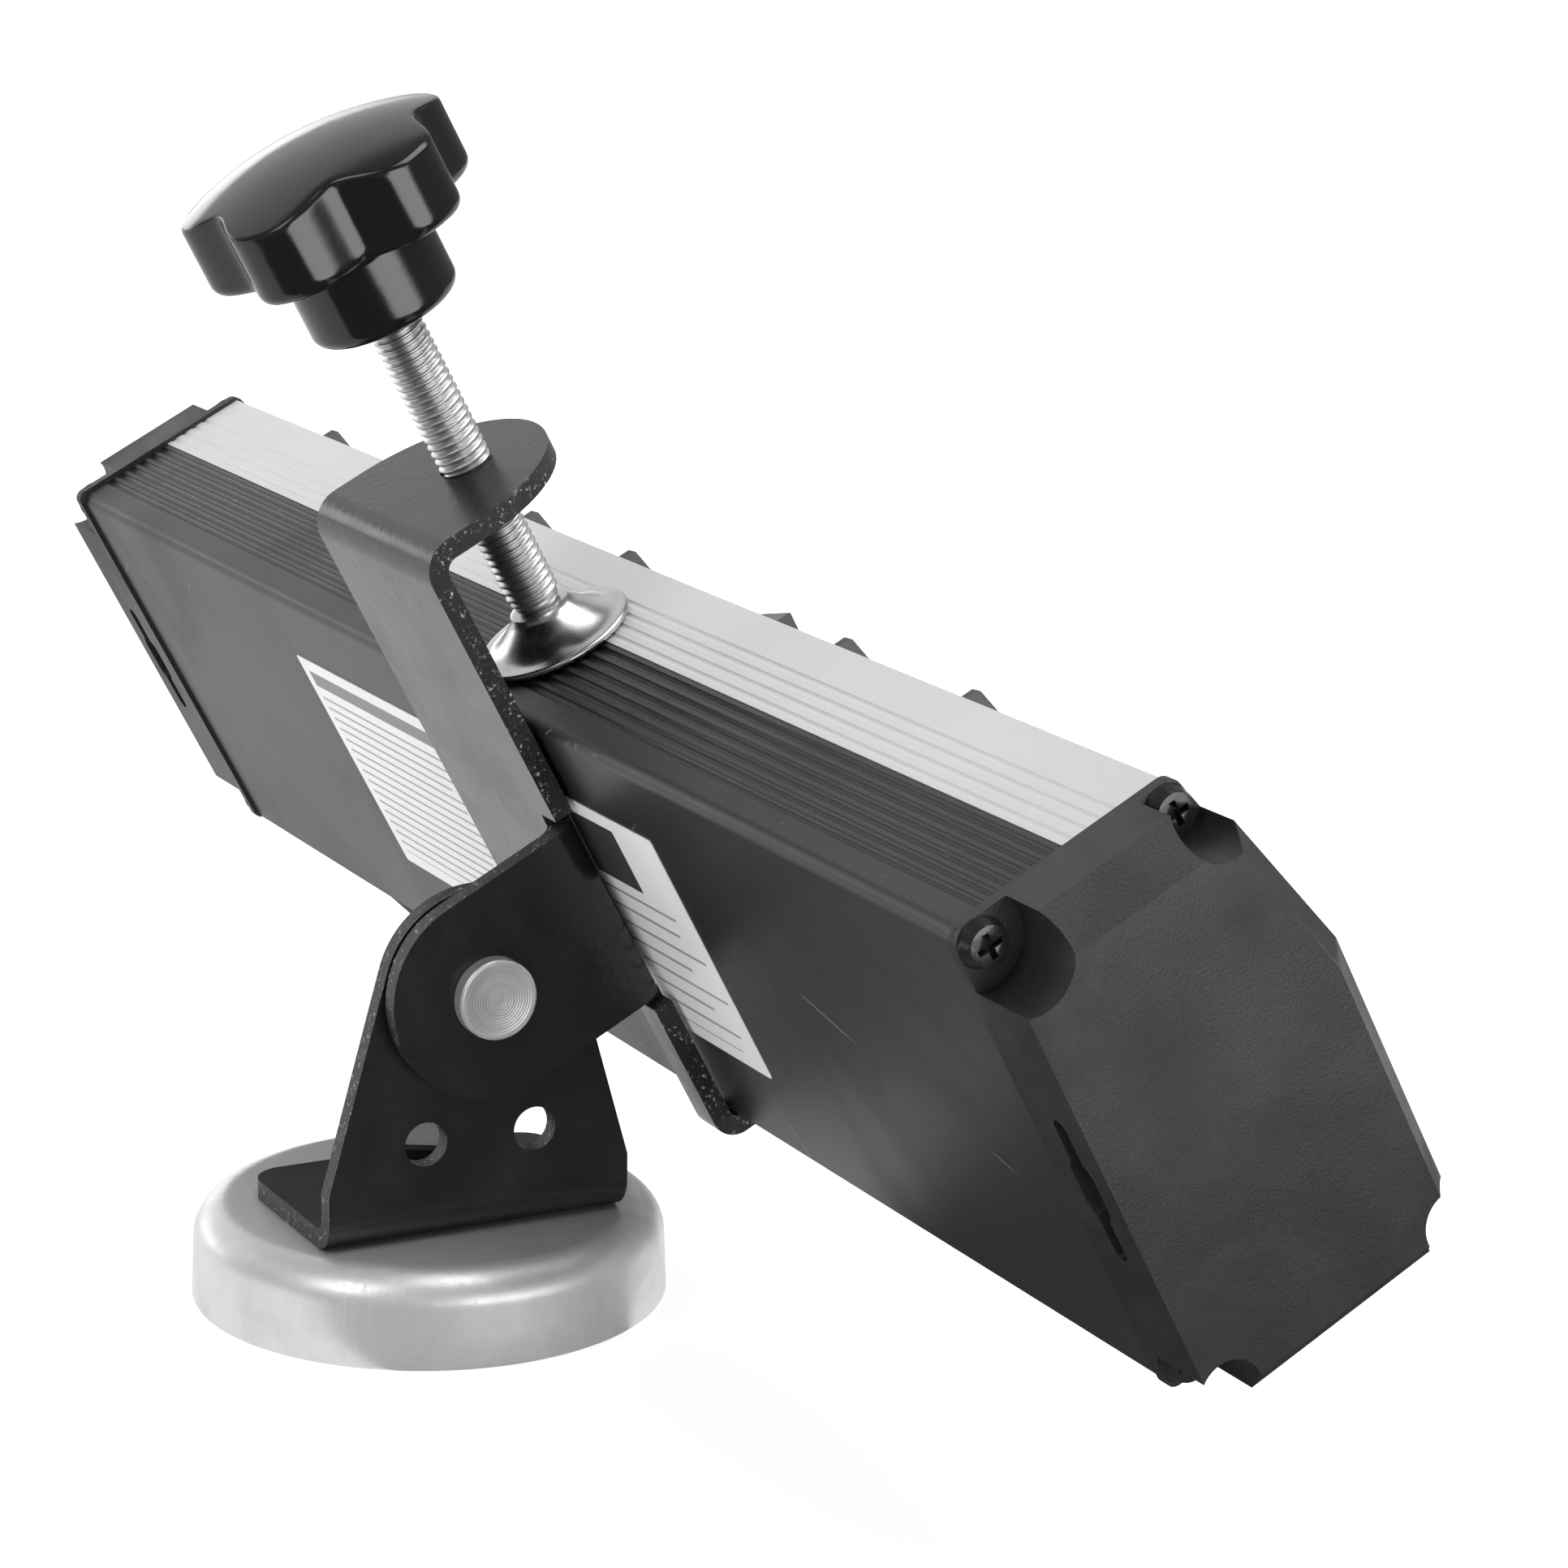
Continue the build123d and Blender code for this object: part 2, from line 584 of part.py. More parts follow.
def make_cap(end, outward):
    """An end cap on the strip's end face, opening towards the strip; outward is -1 or +1 along X."""
    depth = CAP_FLAT + CAP_CHAMFER
    with BuildPart() as cap:
        with BuildSketch(section(end)) as outline:
            with BuildLine():
                Polyline(*strip_outline(-CAP_LIP), close=True)
            make_face()
            fillet(outline.vertices(), 1.6)
        extrude(amount=-outward * CAP_FLAT)
        with BuildSketch(section(end + outward * CAP_FLAT)):
            with BuildLine():
                Polyline(*strip_outline(-CAP_LIP), close=True)
            make_face()
        with BuildSketch(section(end + outward * depth)):
            with BuildLine():
                Polyline(
                    (-CAP_LIP, -CAP_CHAMFER),
                    (STRIP_TOP_DEPTH - 1.2, -CAP_CHAMFER),
                    (STRIP_DEPTH - 2.6, -BEVEL_DROP - 1),
                    (STRIP_DEPTH - 2.6, -STRIP_HEIGHT - CAP_LIP),
                    (-CAP_LIP, -STRIP_HEIGHT - CAP_LIP),
                    close=True,
                )
            make_face()
        loft()
        # chamfer along the outer face's lower edge
        with BuildSketch(front(end + outward * depth, -2, -STRIP_HEIGHT - CAP_LIP)):
            with BuildLine():
                Polyline(
                    (-outward * (CAP_LOW_CHAMFER + 1), -1),
                    (outward, CAP_LOW_CHAMFER + 1),
                    (outward, -1),
                    close=True,
                )
            make_face()
        extrude(amount=STRIP_DEPTH + 4, mode=Mode.SUBTRACT)
        # hollow inside, open at the strip's end
        with BuildSketch(section(end)):
            with BuildLine():
                Polyline(*strip_outline(CAP_WALL), close=True)
            make_face()
        extrude(amount=-outward * (depth - CAP_WALL - CAP_CHAMFER), mode=Mode.SUBTRACT)
        # solid corners behind the screws, then the round notches that hold their heads
        for q, u in SCREW_PLACES:
            with BuildSketch(section(end)):
                with Locations((q, u)):
                    Circle(notch_radius(q, u) + 1.4)
                with BuildLine():
                    Polyline(*strip_outline(1.0), close=True)
                make_face(mode=Mode.INTERSECT)
            extrude(amount=-outward * CAP_FLAT)
        for q, u in SCREW_PLACES:
            with BuildSketch(section(end + outward * CAP_FLANGE)):
                # set half a millimetre towards the corner, so that no wall is left outside the head
                with Locations((q - 0.5 if q < 10 else q + 0.5, u + 0.5 if u > -20 else u - 0.5)):
                    Circle(notch_radius(q, u))
            extrude(amount=-outward * depth, mode=Mode.SUBTRACT)
            with BuildSketch(section(end)):
                with Locations((q, u)):
                    Circle(CAP_SCREW_R)
            extrude(amount=-outward * CAP_FLANGE, mode=Mode.SUBTRACT)
        # keyhole slot in the back wall, for hanging the strip on two wall screws
        with BuildSketch(front(end + outward * 7.6, -2, -36.5)):
            SlotOverall(22, 2.8, rotation=90)
            SlotOverall(9.5, 5.2, rotation=90)
        extrude(amount=CAP_WALL + 3, mode=Mode.SUBTRACT)
    return cap.part


save(make_cap(STRIP_NEAR, -1), "end_cap_near")
save(make_cap(STRIP_FAR, 1), "end_cap_far")

SCREW_BITE = 9.0
with BuildPart() as cap_screws:
    for end, outward in ((STRIP_NEAR, -1), (STRIP_FAR, 1)):
        for q, u in SCREW_PLACES:
            with BuildSketch(section(end + outward * CAP_FLANGE)):
                with Locations((q, u)):
                    Circle(CAP_SCREW_HEAD_R)
            extrude(amount=-outward * 2.2, taper=18)
            with BuildSketch(section(end + outward * (CAP_FLANGE + 2.2))):
                with Locations((q, u)):
                    Rectangle(3.6, 0.9)
                    Rectangle(0.9, 3.6)
            extrude(amount=outward * 1.3, mode=Mode.SUBTRACT)
            with BuildSketch(section(end + outward * CAP_FLANGE)):
                with Locations((q, u)):
                    Circle(CAP_SCREW_R)
            extrude(amount=outward * (CAP_FLANGE + SCREW_BITE))
save(cap_screws.part, "cap_screws")

# ======================= outlets =======================
BLADE_PITCH = 12.7
BLADE_RISE = 4.0
GROUND_DROP = 11.9
SLOT_DEPTH = 17.0
for number, x in enumerate(OUTLET_X, start=1):
    with BuildPart() as outlet:
        with BuildSketch(front(x, OUTLET_BACK, OUTLET_U)):
            diamond(OUTLET_SIDE, OUTLET_CORNER)
        extrude(amount=OUTLET_FRONT - OUTLET_BACK)
        chamfer(outlet.faces().sort_by(OUTWARD)[-1].edges(), 0.8)
        turned = front(x, OUTLET_FRONT, OUTLET_U).rotated((0, 0, 45))
        with BuildSketch(turned):
            with Locations((-BLADE_PITCH / 2, BLADE_RISE)):
                Rectangle(2.2, 8.2)
            with Locations((BLADE_PITCH / 2, BLADE_RISE)):
                Rectangle(2.2, 6.9)
            with Locations((0, BLADE_RISE - GROUND_DROP)):
                Circle(2.4)
        extrude(amount=-SLOT_DEPTH, mode=Mode.SUBTRACT)
    save(outlet.part, f"outlet_{number}")

# three bus bars along the backs of the outlets
BAR_LENGTH = 252.0
BAR_X = 38.8
for name, bar_u, bar_q in (("bus_line", -17.5, 17.0), ("bus_neutral", -25.5, 17.0), ("bus_ground", -33.5, 17.0)):
    with BuildPart() as bus:
        with BuildSketch(front(BAR_X, bar_q, bar_u)):
            Rectangle(BAR_LENGTH, 5.0)
        extrude(amount=0.8)
        with BuildSketch(front(0, bar_q + 0.8, bar_u)):
            with Locations(*[(x, 0) for x in OUTLET_X]):
                Rectangle(3.0, 3.0)
        extrude(amount=OUTLET_BACK - bar_q - 0.8)
    save(bus.part, name)

# ======================= USB module =======================
USB_BACK = 24.0
USB_FRONT = STRIP_DEPTH + 1.2
with BuildPart() as usb_module:
    with BuildSketch(front(USB_X, USB_BACK, 0)):
        with BuildLine():
            Polyline(*usb_outline(0), close=True)
        make_face()
    extrude(amount=USB_FRONT - USB_BACK)
    with BuildSketch(front(USB_X, USB_FRONT, -29.0)):
        with Locations((0, 4.5), (0, -4.5)):
            Rectangle(13.6, 6.0)
    extrude(amount=-14, mode=Mode.SUBTRACT)
save(usb_module.part, "usb_module")

with BuildPart() as usb_ports:
    with BuildSketch(front(USB_X, USB_FRONT - 14, -29.0)):
        with Locations((0, 4.5), (0, -4.5)):
            Rectangle(13.2, 5.6)
            Rectangle(12.6, 5.0, mode=Mode.SUBTRACT)
    extrude(amount=13.8)
    with BuildSketch(front(USB_X, USB_FRONT - 14, -29.0)):
        with Locations((0, 5.6), (0, -3.4)):
            Rectangle(11.2, 1.6)
    extrude(amount=10)
    with BuildSketch(front(USB_X, USB_FRONT - 14, -29.0)):
        with Locations((0, 4.5), (0, -4.5)):
            Rectangle(13.2, 5.6)
    extrude(amount=0.6)
save(usb_ports.part, "usb_ports")

with BuildPart() as usb_board:
    with BuildSketch(front(USB_X, USB_BACK - 2.4, -28.0)):
        Rectangle(27, 24)
    extrude(amount=1.6)
    with BuildSketch(front(USB_X, USB_BACK - 5.6, -28.0)):
        with Locations((-6, 4), (6, 4), (0, -7)):
            Rectangle(8, 6)
    extrude(amount=3.2)
save(usb_board.part, "usb_board")

# ======================= switch, breaker and lamps =======================
ROCKER_PIN_Q = STRIP_DEPTH - 2.5
ROCKER_PIN_R = 1.0
with BuildPart() as switch_housing:
    with BuildSketch(front(SWITCH_X, STRIP_DEPTH, SWITCH_U)):
        RectangleRounded(15.0, 21.2, 1.5)
        RectangleRounded(11.0, 17.4, 0.8, mode=Mode.SUBTRACT)
    extrude(amount=1.4)
    with BuildSketch(front(SWITCH_X, STRIP_DEPTH - 14, SWITCH_U)):
        RectangleRounded(13.0, 19.2, 1.5)
        RectangleRounded(11.0, 17.4, 0.8, mode=Mode.SUBTRACT)
    extrude(amount=14)
    with BuildSketch(front(SWITCH_X, STRIP_DEPTH - 15.5, SWITCH_U)):
        RectangleRounded(13.0, 19.2, 1.5)
    extrude(amount=1.5)
    # bearing holes for the rocker's pins
    with BuildSketch(section(SWITCH_X + 7)):
        with Locations((ROCKER_PIN_Q, SWITCH_U)):
            Circle(ROCKER_PIN_R + 0.12)
    extrude(amount=14, mode=Mode.SUBTRACT)
save(switch_housing.part, "switch_housing")

with BuildPart() as rocker:
    with BuildSketch(section(SWITCH_X + 5.0)):
        with BuildLine():
            Polyline(
                (ROCKER_PIN_Q - 4.5, SWITCH_U),
                (ROCKER_PIN_Q - 2.0, SWITCH_U + 6.0),
                (ROCKER_PIN_Q + 3.2, SWITCH_U + 8.0),
                (ROCKER_PIN_Q + 5.2, SWITCH_U + 7.4),
                (ROCKER_PIN_Q + 3.6, SWITCH_U),
                (ROCKER_PIN_Q + 5.2, SWITCH_U - 7.4),
                (ROCKER_PIN_Q + 3.2, SWITCH_U - 8.0),
                (ROCKER_PIN_Q - 2.0, SWITCH_U - 6.0),
                close=True,
            )
        make_face()
    extrude(amount=10.0)
    with BuildSketch(section(SWITCH_X + 5.9)):
        with Locations((ROCKER_PIN_Q, SWITCH_U)):
            Circle(ROCKER_PIN_R)
    extrude(amount=11.8)
save(rocker.part, "rocker")

with BuildPart() as breaker_body:
    with BuildSketch(front(RESET_X, STRIP_DEPTH - 20, RESET_U)):
        Rectangle(14, 12)
    extrude(amount=18.3)
    with BuildSketch(front(RESET_X, STRIP_DEPTH - 1.7, RESET_U)):
        Circle(5.4)
    extrude(amount=3.2)
    with BuildSketch(front(RESET_X, STRIP_DEPTH - 8, RESET_U)):
        Circle(3.3)
    extrude(amount=10, mode=Mode.SUBTRACT)
save(breaker_body.part, "breaker_body")

with BuildPart() as reset_button:
    with BuildSketch(front(RESET_X, STRIP_DEPTH - 5.5, RESET_U)):
        Circle(3.2)
    extrude(amount=10.0)
    fillet(reset_button.edges().sort_by(OUTWARD)[-1], 0.6)
save(reset_button.part, "reset_button")

with BuildPart() as lamp_lenses:
    for x in LENS_X:
        with BuildSketch(front(x, STRIP_DEPTH - WALL - 3, LENS_U)):
            Circle(2.4)
        extrude(amount=3 + WALL + 0.8)
save(lamp_lenses.part, "lamp_lenses")

# ======================= inner electronics =======================
BOARD_Q = 8.0
with BuildPart() as surge_board:
    with BuildSketch(front(62.0, BOARD_Q, -55.0)):
        Rectangle(120, 20)
    extrude(amount=1.6)
save(surge_board.part, "surge_board")

with BuildPart() as varistors:
    for x in (20.0, 36.0, 52.0):
        with BuildSketch(front(x, BOARD_Q + 1.6, -55.0)):
            RectangleRounded(4.4, 14, 1.5)
        extrude(amount=14)
save(varistors.part, "varistors")

with BuildPart() as thermal_fuse:
    with BuildSketch(section(84.0)):
        with Locations((BOARD_Q + 4.2, -50.0)):
            Circle(2.4)
    extrude(amount=14)
save(thermal_fuse.part, "thermal_fuse")

with BuildPart() as terminal_block:
    with BuildSketch(front(108.0, BOARD_Q + 1.6, -57.0)):
        Rectangle(22, 10)
    extrude(amount=7)
save(terminal_block.part, "terminal_block")

# ======================= cord gland =======================
with BuildPart() as cord_gland:
    with BuildSketch(deck(GLAND_X, GLAND_Q, -STRIP_HEIGHT + WALL)):
        Circle(GLAND_FLANGE_R)
    extrude(amount=2.0)
    with BuildSketch(deck(GLAND_X, GLAND_Q, -STRIP_HEIGHT - 1.0)):
        Circle(GLAND_NECK_R)
    extrude(amount=1.0 + WALL)
    with BuildLine():
        elbow = FilletPolyline(
            at(GLAND_X, GLAND_Q, -STRIP_HEIGHT - 0.5),
            at(GLAND_X - 1.5, GLAND_Q, -STRIP_HEIGHT - 4.5),
            at(GLAND_X - 34.0, GLAND_Q, -STRIP_HEIGHT - 12.0),
            radius=5.5,
        )
    with BuildSketch(Plane(origin=elbow @ 0, z_dir=elbow % 0)):
        Circle(4.4)
    sweep(path=elbow)
save(cord_gland.part, "cord_gland")

# ======================= labels on the strip's back =======================
LABEL_H = 0.15
LABEL_TOP = -13.2
with BuildPart() as rating_label:
    with BuildSketch(front(48.2, -LABEL_H, LABEL_TOP - 20.9)):
        RectangleRounded(72.0, 41.8, 0.6)
    extrude(amount=LABEL_H)
save(rating_label.part, "rating_label")

with BuildPart() as maker_label:
    with BuildSketch(front(-31.4, -LABEL_H, LABEL_TOP - 21.1)):
        RectangleRounded(32.2, 42.2, 0.6)
    extrude(amount=LABEL_H)
save(maker_label.part, "maker_label")
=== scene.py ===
import json
import math

import bpy
from mathutils import Matrix, Vector
from mathutils.bvhtree import BVHTree


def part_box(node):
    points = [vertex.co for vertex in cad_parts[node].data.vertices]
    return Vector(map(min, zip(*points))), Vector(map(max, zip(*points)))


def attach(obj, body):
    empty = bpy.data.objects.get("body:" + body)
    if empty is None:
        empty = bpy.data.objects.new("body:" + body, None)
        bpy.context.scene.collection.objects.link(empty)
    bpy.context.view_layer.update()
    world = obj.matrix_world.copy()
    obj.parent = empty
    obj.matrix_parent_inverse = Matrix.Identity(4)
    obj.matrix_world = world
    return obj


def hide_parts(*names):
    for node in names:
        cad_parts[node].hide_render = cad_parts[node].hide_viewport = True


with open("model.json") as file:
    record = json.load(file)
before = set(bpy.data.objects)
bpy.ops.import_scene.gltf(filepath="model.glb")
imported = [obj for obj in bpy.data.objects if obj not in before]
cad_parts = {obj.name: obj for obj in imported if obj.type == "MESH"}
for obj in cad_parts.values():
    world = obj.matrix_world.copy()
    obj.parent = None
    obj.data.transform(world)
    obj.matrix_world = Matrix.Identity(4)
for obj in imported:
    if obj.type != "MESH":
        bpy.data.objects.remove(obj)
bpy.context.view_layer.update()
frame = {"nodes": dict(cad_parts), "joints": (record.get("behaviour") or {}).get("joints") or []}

MM = 0.001
SHEET = 3.0 * MM
KNOB_TURN = 59.0
NODES = frame["nodes"]
JOINTS = {joint["name"]: joint for joint in frame["joints"]}

# ---- the leaning strip's own directions: X along it, OUT to the outlets, UP to its top ----
PIVOT = Vector(JOINTS["clamp_tilt"]["pos_m"])
UP = Vector(JOINTS["pad_slide"]["axis"]).normalized()
ALONG = Vector((1, 0, 0))
OUT = ALONG.cross(UP)
SCREW_FOOT = Vector(JOINTS["screw_turn"]["pos_m"])
SCREW_Q = 15.1 * MM
CORNER = SCREW_FOOT - OUT * SCREW_Q
CORNER.x = 0.0


# ======================= camera =======================
def make_camera():
    """A long lens a little above the strip, behind its near end."""
    azimuth, elevation, roll = math.radians(242.04), math.radians(14.0), math.radians(0.924)
    back = Vector((
        math.sin(azimuth) * math.cos(elevation),
        -math.cos(azimuth) * math.cos(elevation),
        math.sin(elevation),
    ))
    right = Vector((math.cos(azimuth), math.sin(azimuth), 0))
    up = back.cross(right)
    rolled_right = right * math.cos(roll) + up * math.sin(roll)
    rolled_up = up * math.cos(roll) - right * math.sin(roll)
    distance, side, rise = 0.66737, 0.05328, 0.07533
    data = bpy.data.cameras.new("camera")
    data.sensor_width = 36.0
    data.lens = 101.83
    data.clip_start = 0.01
    data.clip_end = 100.0
    camera = bpy.data.objects.new("camera", data)
    bpy.context.scene.collection.objects.link(camera)
    turn = Matrix((rolled_right, rolled_up, back)).transposed().to_4x4()
    place = rolled_right * side + rolled_up * rise + back * distance
    camera.matrix_world = Matrix.Translation(place) @ turn
    bpy.context.scene.camera = camera


# ======================= node helpers =======================
class Shader:
    """A Principled material with a few short calls for its node tree."""

    def __init__(self, name, color, roughness, metallic=0.0, **sockets):
        self.material = bpy.data.materials.new(name)
        self.material.use_nodes = True
        self.tree = self.material.node_tree
        self.bsdf = self.tree.nodes["Principled BSDF"]
        self.set(self.bsdf, "Base Color", (*color, 1.0))
        self.set(self.bsdf, "Roughness", roughness)
        self.set(self.bsdf, "Metallic", metallic)
        for socket, value in sockets.items():
            self.set(self.bsdf, socket.replace("_", " "), value)
        self.coords = self.tree.nodes.new("ShaderNodeTexCoord").outputs["Object"]
        self.normal = None

    def set(self, node, socket, value):
        node.inputs[socket].default_value = value

    def link(self, source, target):
        self.tree.links.new(source, target)

    def stretched(self, along, across, axis=ALONG):
        """Coordinates for grain that runs along an axis: few features along it, many across."""
        mapping = self.tree.nodes.new("ShaderNodeMapping")
        mapping.vector_type = "TEXTURE"
        turn = axis.to_track_quat("X", "Z").to_euler()
        mapping.inputs["Rotation"].default_value = turn
        mapping.inputs["Scale"].default_value = (1 / along, 1 / across, 1 / across)
        self.link(self.coords, mapping.inputs["Vector"])
        return mapping.outputs["Vector"]

    def noise(self, scale, detail=4.0, rough=0.55, coords=None, distortion=0.0):
        node = self.tree.nodes.new("ShaderNodeTexNoise")
        self.set(node, "Scale", scale)
        self.set(node, "Detail", detail)
        self.set(node, "Roughness", rough)
        self.set(node, "Distortion", distortion)
        self.link(coords or self.coords, node.inputs["Vector"])
        return node.outputs["Fac"]

    def voronoi(self, scale, coords=None, feature="F1"):
        node = self.tree.nodes.new("ShaderNodeTexVoronoi")
        node.feature = feature
        self.set(node, "Scale", scale)
        self.link(coords or self.coords, node.inputs["Vector"])
        return node.outputs["Distance"]

    def ramp(self, source, low, high, out_low=0.0, out_high=1.0):
        node = self.tree.nodes.new("ShaderNodeMapRange")
        node.interpolation_type = "SMOOTHSTEP"
        self.set(node, "From Min", low)
        self.set(node, "From Max", high)
        self.set(node, "To Min", out_low)
        self.set(node, "To Max", out_high)
        self.link(source, node.inputs["Value"])
        return node.outputs["Result"]

    def math(self, kind, a, b=None):
        node = self.tree.nodes.new("ShaderNodeMath")
        node.operation = kind
        for socket, value in zip(node.inputs, (a, b)):
            if isinstance(value, (int, float)):
                socket.default_value = value
            elif value is not None:
                self.link(value, socket)
        return node.outputs["Value"]

    def dot(self, direction, origin=None):
        """Distance along a direction from an origin, in metres."""
        offset = self.tree.nodes.new("ShaderNodeVectorMath")
        offset.operation = "SUBTRACT"
        offset.inputs[1].default_value = origin or Vector((0, 0, 0))
        self.link(self.coords, offset.inputs[0])
        node = self.tree.nodes.new("ShaderNodeVectorMath")
        node.operation = "DOT_PRODUCT"
        node.inputs[1].default_value = direction
        self.link(offset.outputs["Vector"], node.inputs[0])
        return node.outputs["Value"]

    def facing(self, direction):
        """1 where the surface faces along a direction or against it, 0 elsewhere."""
        geometry = self.tree.nodes.new("ShaderNodeTexCoord")
        node = self.tree.nodes.new("ShaderNodeVectorMath")
        node.operation = "DOT_PRODUCT"
        node.inputs[1].default_value = direction
        self.link(geometry.outputs["Normal"], node.inputs[0])
        return self.ramp(self.math("ABSOLUTE", node.outputs["Value"]), 0.8, 0.97)

    def color(self, mask, other):
        """Blends the colour so far towards another one where the mask is 1."""
        base = self.bsdf.inputs["Base Color"]
        node = self.tree.nodes.new("ShaderNodeMix")
        node.data_type = "RGBA"
        self.link(mask, node.inputs["Factor"])
        if base.is_linked:
            self.link(base.links[0].from_socket, node.inputs["A"])
        else:
            node.inputs["A"].default_value = base.default_value
        node.inputs["B"].default_value = (*other, 1.0)
        self.link(node.outputs["Result"], base)
        return self

    def roughen(self, mask, value):
        """Blends the roughness so far towards another value where the mask is 1."""
        base = self.bsdf.inputs["Roughness"]
        node = self.tree.nodes.new("ShaderNodeMix")
        self.link(mask, node.inputs["Factor"])
        if base.is_linked:
            self.link(base.links[0].from_socket, node.inputs["A"])
        else:
            node.inputs["A"].default_value = base.default_value
        node.inputs["B"].default_value = value
        self.link(node.outputs["Result"], base)
        return self

    def bump(self, height, distance, strength=1.0):
        node = self.tree.nodes.new("ShaderNodeBump")
        self.set(node, "Strength", strength)
        self.set(node, "Distance", distance)
        self.link(height, node.inputs["Height"])
        if self.normal:
            self.link(self.normal, node.inputs["Normal"])
        self.normal = node.outputs["Normal"]
        self.link(self.normal, self.bsdf.inputs["Normal"])
        return self


# ======================= materials =======================
def black_paint(name):
    """Gloss black powder coat with orange peel and a little dust."""
    paint = Shader(name, (0.0105, 0.0105, 0.011), 0.2)
    paint.roughen(paint.ramp(paint.noise(60, 3), 0.35, 0.7), 0.3)
    paint.color(paint.ramp(paint.noise(110, 5, 0.6), 0.45, 0.8), (0.016, 0.016, 0.0165))
    dust = paint.ramp(paint.voronoi(420), 0.055, 0.03)
    sparse = paint.ramp(paint.noise(700, 2), 0.66, 0.7)
    paint.color(paint.math("MULTIPLY", dust, sparse), (0.2, 0.2, 0.2))
    paint.bump(paint.noise(700, 2, 0.5), 0.00004)
    paint.bump(paint.noise(1500, 2, 0.5), 0.000012)
    return paint


def sheared_edge(name):
    """The cut edge of painted sheet: torn, rough and flecked with bare steel."""
    edge = Shader(name, (0.009, 0.009, 0.009), 0.42)
    flecks = edge.ramp(edge.noise(1500, 6, 0.75), 0.56, 0.66)
    band = edge.ramp(edge.noise(420, 3, 0.6), 0.42, 0.56)
    edge.color(edge.math("MULTIPLY", flecks, band), (0.6, 0.6, 0.6))
    edge.bump(edge.noise(1300, 5, 0.7), 0.0003)
    return edge


def black_extrusion():
    """Matt black anodised extrusion with fine grain along it, faint scratches and hand marks."""
    skin = Shader("black_extrusion", (0.016, 0.016, 0.0162), 0.4, Specular_IOR_Level=0.5)
    smudge = skin.ramp(skin.noise(22, 5, 0.6, distortion=0.6), 0.42, 0.75)
    skin.roughen(smudge, 0.5)
    skin.color(skin.ramp(skin.noise(14, 6, 0.65), 0.4, 0.75), (0.021, 0.021, 0.021))
    grain = skin.noise(1.0, 3, 0.6, coords=skin.stretched(18, 2400))
    skin.bump(grain, 0.000012)
    for turn, scale in ((0.35, 90), (-0.55, 70), (1.2, 60)):
        line = Matrix.Rotation(turn, 3, OUT) @ ALONG
        streak = skin.noise(1.0, 1, 0.4, coords=skin.stretched(scale * 0.35, scale * 14, line))
        patch = skin.ramp(skin.noise(30 + scale / 4, 2), 0.56, 0.66)
        mark = skin.math("MULTIPLY", skin.ramp(streak, 0.735, 0.76), patch)
        skin.color(mark, (0.11, 0.11, 0.11))
    specks = skin.math("MULTIPLY", skin.ramp(skin.voronoi(260), 0.045, 0.02), skin.ramp(skin.noise(330, 1), 0.6, 0.66))
    skin.color(specks, (0.2, 0.2, 0.2))
    skin.bump(skin.noise(3000, 2), 0.00001)
    return skin


def silver_extrusion():
    """Fine satin anodised aluminium, nearly white in soft light."""
    skin = Shader("silver_extrusion", (0.70, 0.70, 0.70), 0.42, metallic=0.3, Specular_IOR_Level=0.4)
    skin.color(skin.ramp(skin.noise(35, 5), 0.4, 0.75), (0.67, 0.67, 0.67))
    skin.bump(skin.noise(1.0, 3, coords=skin.stretched(20, 3000)), 0.000012)
    skin.roughen(skin.ramp(skin.noise(50, 4), 0.4, 0.7), 0.5)
    specks = skin.math("MULTIPLY", skin.ramp(skin.voronoi(300), 0.04, 0.02), skin.ramp(skin.noise(410, 1), 0.63, 0.67))
    skin.color(specks, (0.3, 0.3, 0.3))
    return skin


def moulding(name, color, rough=0.45, grain=0.00003, mottle=0.5):
    """Spark-textured plastic moulding with handling marks."""
    plastic = Shader(name, color, rough)
    lighter = tuple(channel * 1.0 + 0.018 * mottle for channel in color)
    plastic.color(plastic.ramp(plastic.noise(32, 6, 0.62, distortion=0.8), 0.42, 0.72), lighter)
    plastic.roughen(plastic.ramp(plastic.noise(45, 5, 0.6), 0.4, 0.7), min(0.9, rough + 0.14))
    dust = plastic.math(
        "MULTIPLY", plastic.ramp(plastic.voronoi(350), 0.05, 0.02), plastic.ramp(plastic.noise(290, 1), 0.62, 0.67)
    )
    plastic.color(dust, tuple(channel + 0.16 for channel in color))
    plastic.bump(plastic.noise(2600, 3, 0.6), grain)
    return plastic


def plain_metal(name, color, rough, grain_axis=ALONG, along=60, across=1800, depth=0.00001):
    """Bright or satin metal with grain along an axis and slightly uneven gloss."""
    metal = Shader(name, color, rough, metallic=1.0)
    metal.roughen(metal.ramp(metal.noise(120, 4), 0.4, 0.75), min(0.8, rough + 0.14))
    darker = tuple(channel * 0.84 for channel in color)
    metal.color(metal.ramp(metal.noise(90, 6, 0.65), 0.45, 0.75), darker)
    metal.bump(metal.noise(1.0, 3, coords=metal.stretched(along, across, grain_axis)), depth)
    return metal


def zinc_cup():
    """Satin zinc-plated cup: cloudy plating, upright handling scratches, dull spangle."""
    metal = Shader("zinc_cup", (0.72, 0.72, 0.72), 0.32, metallic=0.55)
    cloud = metal.ramp(metal.noise(70, 6, 0.65, distortion=0.5), 0.38, 0.72)
    metal.color(cloud, (0.62, 0.62, 0.62))
    metal.roughen(cloud, 0.44)
    upright = Vector((0, 0, 1))
    streak = metal.noise(1.0, 2, 0.5, coords=metal.stretched(45, 1500, upright))
    metal.roughen(metal.ramp(streak, 0.5, 0.75), 0.5)
    metal.bump(streak, 0.000015)
    metal.bump(metal.noise(1800, 4, 0.7), 0.00002)
    return metal


